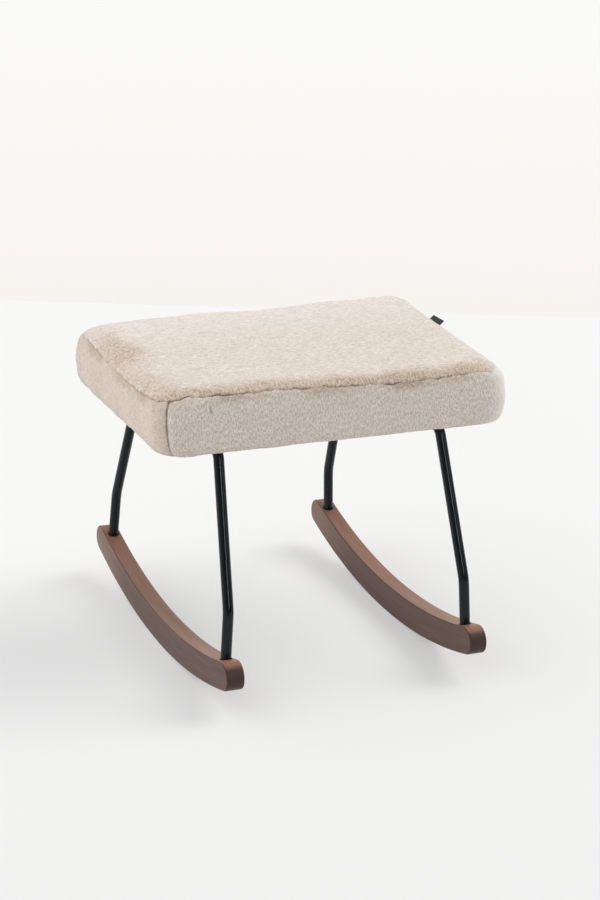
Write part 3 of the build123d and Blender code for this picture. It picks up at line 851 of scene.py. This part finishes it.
def shell(name, node, outer, inner, values, turn):
    """A closed panel: a fine outer face, a coarser inner one and a rim round the two. A turn of -1 makes its
    faces run the other way round."""
    coarse = np.s_[::INNER_STEP, ::INNER_STEP]
    rows, columns = outer.shape[:2]
    index = np.arange(rows * columns).reshape(rows, columns)
    below = index.size + np.arange(index[coarse].size).reshape(index[coarse].shape)
    quads = join([grid_faces(index), grid_faces(below)[:, ::-1]])
    lines = ((index[:, 0], below[:, 0], -1), (index[-1], below[-1], -1),
             (index[:, -1], below[:, -1], 1), (index[0], below[0], 1))
    rims = []
    low, pitch, width = RIM_STRIPS
    for k, (line, under, way) in enumerate(lines):
        count = len(under) - 1
        level = low + pitch * k + np.repeat((0, width), (INNER_STEP + 1, 2))
        for n in range(count):
            face = join([line[INNER_STEP * n:][:INNER_STEP + 1], under[n: n + 2][::-1]])
            along = join([np.linspace(0, 1, INNER_STEP + 1), (1, 0)]) / count + n / count
            rims.append((face[::way], np.stack([RIM_CHART[0] + RIM_CHART[1] * along, level], -1)[::way]))
    faces = [f[::turn] for f in quads.tolist()] + [f[::turn].tolist() for f, uv in rims]
    points = join([outer.reshape(-1, 3), inner[coarse].reshape(-1, 3)])
    piece = part(name, node, points, faces, plush)
    mesh = piece.data
    mesh.polygons.foreach_set("use_smooth", np.arange(len(faces)) < len(quads))
    unit = np.stack(np.meshgrid(np.linspace(0, 1, rows), np.linspace(0, 1, columns), indexing="ij"), -1)
    charts = ((unit, OUTER_CHART), (unit[coarse], INNER_CHART))
    places = join([(grid * size + start).reshape(-1, 2) for grid, (start, size) in charts])
    uv = join([places[quads[:, ::turn]].reshape(-1, 2), *[uv[::turn] for f, uv in rims]])
    mesh.uv_layers.new(name="OFBake").data.foreach_set("uv", uv.astype(np.float32).ravel())
    for key, value in values.items():
        kind, field = ("FLOAT_VECTOR", "vector") if value.ndim == 3 else ("FLOAT", "value")
        both = join([value.reshape(index.size, -1), value[coarse].reshape(below.size, -1)])
        mesh.attributes.new(key, kind, "POINT").data.foreach_set(field, both.astype(np.float32).ravel())


def brush_lines(x, y):
    """1 along thin wavering lines in patches, mostly across the seat, where the pile parts."""
    wander = swells(x, y, (0.5, 0.02, 0.02, 33))
    line = np.exp(-((perlin(x / 0.05 + 40, y / 0.009 + wander, 34) / 0.09) ** 2))
    return line * smooth(swells(x, y, (1, 0.026, 0.014, 35), (0.3, 0.1, 0.07, 36)), 0.05, 0.5)


def make_top_panel(relief):
    p, q = graded(TOP_RUN[0]), graded(TOP_RUN[1])
    base, normals, run, place = top_surface(p, q)
    x, y = base[..., 0], base[..., 1]
    grip = seam_grip(place)
    pile = tufts(x, y, 0.0030, 0.0048, 21)
    streaks = tufts(y, x, 0.0046, 0.022, 31) * smooth(run, 0.006, 0.035)
    wrinkles = resampled(relief, p / TOP_RUN[0], q / TOP_RUN[1])
    fade = smooth(run, *PILE_FADE)
    height = lip(run, grip) + (TOP_TUFT * pile + TOP_TUFT * streaks + wrinkles) * fade
    height += swells(x, y, (0.0007, 0.075, 0.06, 41), (0.0005, 0.03, 0.022, 42))
    height += swells(x, y, (0.0004, 0.012, 0.012, 43)) * np.exp(-run / 0.012)
    crease = -brush_lines(x, y) * fade
    height += PARTING * crease
    ruffled = x + swells(x, y, (0.002, 0.012, 0.012, 61)), y + swells(x, y, (0.003, 0.015, 0.015, 62))
    for line, width, rise in TOP_CREASES:
        mark = stroke(*ruffled, line, width)
        height += rise * mark
        crease += np.sign(rise) * mark
    # the pile leans down over the front edge, in a patch and along the left, where it looks darker and warmer
    ragged = swells(x, y, (0.006, 0.03, 0.05, 51), (0.004, 0.011, 0.011, 52))
    front = (1 - smooth(q + 1.3 * ragged, 0.008, 0.042)) * (1 - smooth(p[:, None], 0.545, 0.572))
    front *= 1.0 + swells(x, 0 * y, (0.25, 0.045, 1, 53))
    off_x = (x - LEAN_PATCH[0] + 2 * ragged) / LEAN_PATCH_SIZE[0]
    off_y = (y - LEAN_PATCH[1]) / LEAN_PATCH_SIZE[1]
    patch = clamp(1.5 * np.exp(-(off_x**2 + off_y**2)))
    left = 0.65 * (1 - smooth(p[:, None] + 1.5 * ragged, 0.010, 0.062))
    lean = clamp(np.maximum.reduce([front, patch, left]))
    # painted light: the pile is drawn pale along the far edges, where light from behind catches it, and a
    # little paler towards the rear
    far = smooth(place, 0.96, 1.04) * (1 - smooth(place, 2.9, 3.1))
    pale = np.maximum(0.8 * np.exp(-np.maximum(run - 0.008, 0) / 0.011) * far, 0.3 * smooth(y, -0.02, 0.18))
    # the pile's colour level: partly the real lighter tips over darker roots, partly painted shade in the
    # hollows, brush lines and sunk creases, and painted light on raised creases
    values = {"pile": clamp(0.5 + 0.3 * pile + 0.3 * streaks + 0.6 * crease), "lean": lean,
              "seam": seam_shade(run, grip), "lay": np.stack([0.75 * y, 0.65 * x, 0 * x], -1),
              "pale": pale, "rough": 0.9 + 0.3 * lean}
    shell("plush_top_panel", "cover_top_panel", base + normals * height[..., None],
          base - normals * COVER_THICKNESS, values, 1)


BAND_DROP = 0.15  # about how long a band is, from the seam to the end of its lap
BAND_NAMES = ("front", "right", "rear", "left")
BAND_LEAN = (0.0, 0.1, 0.2, 0.55)  # how far the pile of each band looks warmer than the seat's top
BAND_ROUGH = (1.5, 1.2, 1.1, 0.75)  # and how far it stands open in tufts


def make_band(side, relief):
    name = BAND_NAMES[side]
    length = (2 * HALF_WIDTH, 2 * HALF_DEPTH)[side % 2]
    along, down = graded(length) / length, graded(BAND_DROP) / BAND_DROP
    base, normals = band_surface(side, along, down)
    gone, left = grid_lengths(base, 0)
    drop = grid_lengths(base, 1)[0]
    gap = np.minimum(gone, left)
    across = gone + 0.7 * side
    grip = seam_grip(side + along[:, None] + 0 * drop)
    shows = np.where(gone < left, CORNER_SHOWS[side], CORNER_SHOWS[(side + 1) % 4])
    corner_grip = shows * (0.8 + 0.6 * perlin(drop / 0.007, 0 * drop + 0.5, 13))
    closing = 1 - 0.55 * smooth(drop, 0.03, 0.09)  # the corner seams close towards the lower edge
    pile = tufts(across, drop, 0.0028, 0.0058, 22)
    slow = swells(across, drop, (0.0007, 0.06, 0.045, 44), (0.0004, 0.024, 0.02, 45))
    fade = smooth(np.minimum(drop, gap), *PILE_FADE) * (1 - smooth(drop, 0.118, 0.13))
    height = np.maximum(lip(drop, grip) + lip(gap, corner_grip) * closing, -SEAM_DEPTH)
    height += (BAND_TUFT * pile + slow + resampled(relief, along, down)) * fade
    height += swells(across, drop, (0.0006, 0.011, 0.03, 46)) * np.exp(-drop / 0.012) * fade
    crease = np.zeros_like(drop)
    if side == 0:
        crease = stroke(across - HALF_WIDTH, drop, *FRONT_CREASE)
        height -= FRONT_CREASE_DEPTH * crease
    ragged = swells(across, drop, (0.003, 0.02, 0.02, 54))
    patches = clamp(0.35 + 1.3 * perlin(across / 0.07, 0 * drop + side, 55))
    lean = (1 - smooth(drop + ragged, 0.005, 0.017)) * patches + 0.35 * smooth(drop + ragged, 0.075, 0.095)
    lean += BAND_LEAN[side] * (1 + swells(across, drop, (0.3, 0.05, 0.05, 56)))
    seam = np.maximum(seam_shade(drop, grip), seam_shade(gap, corner_grip, 1.2, 0.1) * closing)
    # painted light: the pile is drawn pale round the front right corner, where the light from the right
    # catches its rim
    from_corner = {0: left, 1: gone}.get(side, gone + 1)
    pale = np.exp(-((np.maximum(from_corner - 0.008, 0) / 0.024) ** 2))
    # the pile's colour level: partly real darker roots, partly painted shade in the tufts' hollows; the front
    # crease is drawn dark with the seam's painted shade
    values = {"pile": clamp(0.5 + 0.45 * pile - 0.6 * crease), "lean": clamp(lean),
              "seam": np.maximum(seam, 0.6 * crease), "lay": np.stack([across, drop, 0 * drop], -1),
              "rough": BAND_ROUGH[side] + 0 * drop, "pale": pale}
    depth = lerp(COVER_THICKNESS, LAP_THICKNESS, smooth(drop, 0.100, 0.122))
    outer = clear_of_legs(base + normals * height[..., None], LEG_RADIUS)
    shell(f"plush_{name}_band", f"cover_{name}_band", outer, base - normals * depth[..., None], values, -1)


# each from the roots to the tips of the pile
PLUSH_SAND = ((0.64, 0.563, 0.50), (0.925, 0.84, 0.77))
PLUSH_WARM = ((0.44, 0.34, 0.265), (0.77, 0.645, 0.54))  # where the pile leans
PLUSH_RIM_LIGHT = ((0.89, 0.85, 0.80), (0.99, 0.96, 0.92))  # painted light, where the pile catches the light at its rims
PLUSH_SEAM_SHADE = (0.24, 0.175, 0.13)
PLUSH_CLOUD = (0.96, 0.955, 0.95)


def plush_pile():
    """Short warm-sand plush: light tips over darker roots, warmer where the pile leans, with painted shade in
    the seams and painted light at the rims.
    """
    pile = Finish("sand_plush", Roughness=1.0, Sheen_Weight=0.4, Sheen_Roughness=0.35,
                  Specular_IOR_Level=0.05, Sheen_Tint=(1.0, 0.975, 0.95, 1.0))
    lay, lean = pile.attribute("lay", "Vector"), pile.attribute("lean")
    scales = ((560, 170, 1), (150, 700, 1), (900, 350, 1))
    lying, turned, fleck = (pile.noise(lay, scale, 2.0, 0.6) for scale in scales)
    fibre = pile.calc("MULTIPLY_ADD", pile.calc("SUBTRACT", turned, lying), lean, lying)
    body = pile.calc("MULTIPLY", pile.attribute("pile"), 0.3)
    body = pile.calc("MULTIPLY_ADD", fibre, 1.1, body)
    body = pile.calc("MULTIPLY_ADD", fleck, 0.8, body)
    body = pile.calc("MULTIPLY", pile.calc("SUBTRACT", body, 1.1), pile.attribute("rough"))
    level = pile.spread(body, -0.2, 0.2)
    colour = pile.mix(lean, pile.mix(level, *PLUSH_SAND), pile.mix(level, *PLUSH_WARM))
    cloud = pile.spread(pile.noise(lay, (38, 26, 1)), 0.3, 0.7)
    colour = pile.mix(1.0, colour, pile.mix(cloud, PLUSH_CLOUD, WHITE), "MULTIPLY")
    # painted rim light, from the pale attribute
    colour = pile.mix(pile.attribute("pale"), colour, pile.mix(level, *PLUSH_RIM_LIGHT))
    # painted shade in the seams' grooves and in the front band's crease
    colour = pile.mix(pile.calc("MULTIPLY", pile.attribute("seam"), 0.8), colour, PLUSH_SEAM_SHADE)
    return pile.paint(colour, None, pile.calc("MULTIPLY_ADD", fleck, 0.5, fibre), 0.0016, 0.85)


# ---- the padding inside ----

PAD = (49, 35)  # points across the seat and along its depth
PAD_DROPS = np.linspace(0, 0.72, 14)
FOAM_DEPTH = 0.0121  # below the cover's outer face
WADDING_DEPTH = 0.0083
WADDING_INNER = 0.0119
BOARD_GAP = 0.0004
BOARD_ROUNDING = 0.6  # its corner radii, as a share of the seat's


def foam_block():
    """The foam: crowned like the seat, and wrapped round the edge of the board that it stands on."""
    points, normals, quads, top, rings = seat_net(*PAD, PAD_DROPS)
    points = points - normals * FOAM_DEPTH
    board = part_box("seat_board")
    inset = HALF_WIDTH - board[1].x - BOARD_GAP
    around_board = []  # a ring of plan points, a hair outside it
    for side in range(4):
        along = np.linspace(0, 1, PAD[side % 2])[:-1]
        insets = [inset + 0 * along] * 3
        around_board.append(outline(side, along, *insets, BOARD_ROUNDING, pi / 4, pi / 4)[0])
    heights = points[rings[-1], 2].mean(), board[1].z + BOARD_GAP
    low, high = (np.insert(join(around_board), 2, height, 1) for height in heights)
    low_ring = len(points) + np.arange(len(low))
    high_ring = low_ring + len(low)
    # the face that lies on the board, a grid inside the last ring
    cap = np.arange(top.size).reshape(PAD)
    cap.flat[rim_of(cap)] = high_ring
    inside = cap[1:-1, 1:-1]
    inside[:] = high_ring[-1] + 1 + np.arange(inside.size).reshape(inside.shape)
    a, b = np.meshgrid(*(np.linspace(-1, 1, count)[1:-1] for count in PAD), indexing="ij")
    flat = np.stack([a * board[1].x, b * board[1].y, 0 * a + high[0, 2]], -1).reshape(-1, 3)
    faces = join([quads, ring_faces(rings[-1], low_ring, high_ring), grid_faces(cap)[:, ::-1]])
    points = join([points, low, high, flat])
    part("foam_block", "foam_pad", points, faces.tolist(), foam_cells())


def wadding_layer():
    """The wadding: a thin layer over the foam, open below."""
    points, normals, quads, _, rings = seat_net(*PAD, PAD_DROPS)
    last, count = rings[-1], len(points)
    faces = join([quads, quads[:, ::-1] + count, ring_faces(last, last + count)])
    points = join([points - normals * WADDING_DEPTH, points - normals * WADDING_INNER])
    part("wadding_layer", "wadding_wrap", points, faces.tolist(), wadding_fibres())


def foam_cells():
    cells, colours = (900, 3.0, 0.6), ((0.62, 0.55, 0.36), (0.82, 0.76, 0.56))
    return grainy("cut_foam", cells, colours, None, cells, 0.0006, Roughness=0.95)


def wadding_fibres():
    fibres, colours = ((260, 700, 420), 3.0, 0.7, 1.5), ((0.72, 0.72, 0.70), (0.9, 0.9, 0.88))
    return grainy("white_wadding", fibres, colours, None, fibres, 0.0012, Roughness=1.0, Sheen_Weight=0.3)


# ---- the cloth under the seat ----

CLOTH_STEP = 0.004
CLOTH_THICKNESS = 0.0006
CLOTH_CORNER = 0.016
CLOTH_ZONE = 0.045
CLOTH_SAG = 0.0016
CLOTH_SAG_SIZE = (0.135, 0.15)  # from the middle to where the sag ends
CLOTH_RIPPLE = 0.00025
STAPLE_PITCH = 0.062
DOT_PITCH = 0.0024


def dust_cloth():
    """Black non-woven cloth under the board, over the turned-under plush, stapled round its edge."""
    low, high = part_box("dust_cover")
    columns, rows = (int((high[k] - low[k]) / CLOTH_STEP) + 1 for k in (0, 1))
    x, y = np.meshgrid(np.linspace(low.x, high.x, columns), np.linspace(low.y, high.y, rows), indexing="ij")
    # round the corners by drawing squares about each corner's centre into circles
    u, v = (np.maximum(abs(c) - h + CLOTH_CORNER, 0) for c, h in ((x, high.x), (y, high.y)))
    pull = np.where((u > 0) & (v > 0), np.maximum(u, v) / np.maximum(np.hypot(u, v), 1e-9), 1)
    x, y = x + np.sign(x) * u * (pull - 1), y + np.sign(y) * v * (pull - 1)
    # the distance from the edge, measured to rounded corners, and no further than the edge zone reaches
    zone = CLOTH_ZONE
    rim = zone - np.hypot(np.maximum(zone - high.x + abs(x), 0), np.maximum(zone - high.y + abs(y), 0))
    along_edge = np.where(high.x - abs(x) < high.y - abs(y), y, x)
    puckers = 1 - np.cos(2 * pi * along_edge / STAPLE_PITCH)
    slack = CLOTH_RIPPLE * puckers * (1 - smooth(rim, 0.002, 0.03))
    across, along = (clamp(1 - (c / half) ** 2) for c, half in zip((x, y), CLOTH_SAG_SIZE))
    sag = CLOTH_SAG * across * along
    ripple = swells(x, y, (CLOTH_RIPPLE, 0.05, 0.012, 71)) * across
    over_lap = 1 - smooth(rim, 0.016, 0.026)
    z = lerp(BOARD_BOTTOM - 0.0002, LAP_HEIGHT - 0.0003, over_lap) - slack - sag - ripple
    upper = np.stack([x, y, z], -1)
    lower = clear_of_legs(upper - (0, 0, CLOTH_THICKNESS), LEG_RADIUS - 0.0005)
    upper[..., 2] = np.maximum(upper[..., 2], lower[..., 2] + CLOTH_THICKNESS / 3)
    piece = sheet_part("under_cloth", "dust_cover", "black_nonwoven", upper, lower, bonded_cloth())


def bonded_cloth():
    """Black spun-bonded cloth: a grid of small pressed dots between matted fibres."""
    cloth = Finish("bonded_black_cloth")
    coords = cloth.coords()
    across, along, _ = cloth.split(coords)
    dots = cloth.calc("MULTIPLY", cloth.wave(across, DOT_PITCH), cloth.wave(along, DOT_PITCH))
    dots = cloth.spread(dots, 0.3, 0.75)
    fibres = cloth.noise(coords, (900, 2600, 900), 3.0, 0.65, 1.0)
    colour = cloth.mix(cloth.spread(fibres, 0.35, 0.7), (0.011, 0.011, 0.012), (0.028, 0.028, 0.030))
    colour = cloth.mix(dots, colour, (0.009, 0.009, 0.010))
    rough = cloth.mix(dots, (0.86,) * 3, (0.55,) * 3)
    return cloth.paint(colour, rough, cloth.calc("SUBTRACT", fibres, dots), 0.00012)


# ---- the label ----

LABEL_ROOT = (0.2788, 0.062, 0.4600)  # where it leaves the right-hand seam
LABEL_LENGTH = 0.038
LABEL_REACH = 0.0128
LABEL_HIDDEN = 0.004
LABEL_LEAN = radians(50)  # from upright, outwards
LABEL_TWIST = radians(3)
LABEL_CLOTH = 0.00042
LABEL_FOLD = 0.00036
LABEL_RIB = 0.0006
LABEL_POINTS = 12  # along each of the two straight halves


def label():
    """A small woven tape folded double, its two ends held in the seam."""
    end = LABEL_REACH - LABEL_FOLD
    straight = np.linspace(-LABEL_HIDDEN, end, LABEL_POINTS)
    turn = np.linspace(-pi / 2, pi / 2, 9)
    run = join([straight, np.full(len(turn) - 2, end), straight[::-1]])
    turn = np.pad(turn, LABEL_POINTS - 1, "edge")
    line = np.column_stack([run + LABEL_FOLD * np.cos(turn), LABEL_FOLD * np.sin(turn)])
    along = np.gradient(line, axis=0)
    side = np.column_stack([along[:, 1], -along[:, 0]]) / np.linalg.norm(along, axis=1)[:, None]
    steps = np.linspace(-0.5, 0.5, 25)[:, None]
    lift = LABEL_LEAN + LABEL_TWIST * np.sin(3.1 * steps + 0.4)
    out, up = np.sin(lift), np.cos(lift)
    faces = []
    for face in (line + side * LABEL_CLOTH / 2, line - side * LABEL_CLOTH / 2):
        s, t = face.T[:, None]
        place = np.stack([out * s - up * t, LABEL_LENGTH * steps + 0 * s, up * s + out * t], -1)
        faces.append(place + LABEL_ROOT)
    sheet_part("seam_label", "side_label", "label_cloth", *faces, label_weave())


def label_weave():
    tape = Finish("black_label_tape", Roughness=0.75, Sheen_Weight=0.1)
    coords = tape.coords()
    threads = tape.noise(coords, (1500, 3500, 1500))
    ribs = tape.wave(tape.split(coords)["Y"], LABEL_RIB)
    colour = tape.mix(threads, (0.006, 0.006, 0.007), (0.018, 0.018, 0.02))
    return tape.paint(colour, None, tape.calc("MULTIPLY_ADD", ribs, 0.5, threads), 0.00008)


make_camera()
make_world()
make_lamps()
make_floor()
finish_cad_pieces()
plush = plush_pile()
reliefs = cover_relief()
make_top_panel(reliefs[0])
for number in range(4):
    make_band(number, reliefs[number + 1])
foam_block()
wadding_layer()
dust_cloth()
label()

bpy.context.scene.view_settings.view_transform = "Standard"
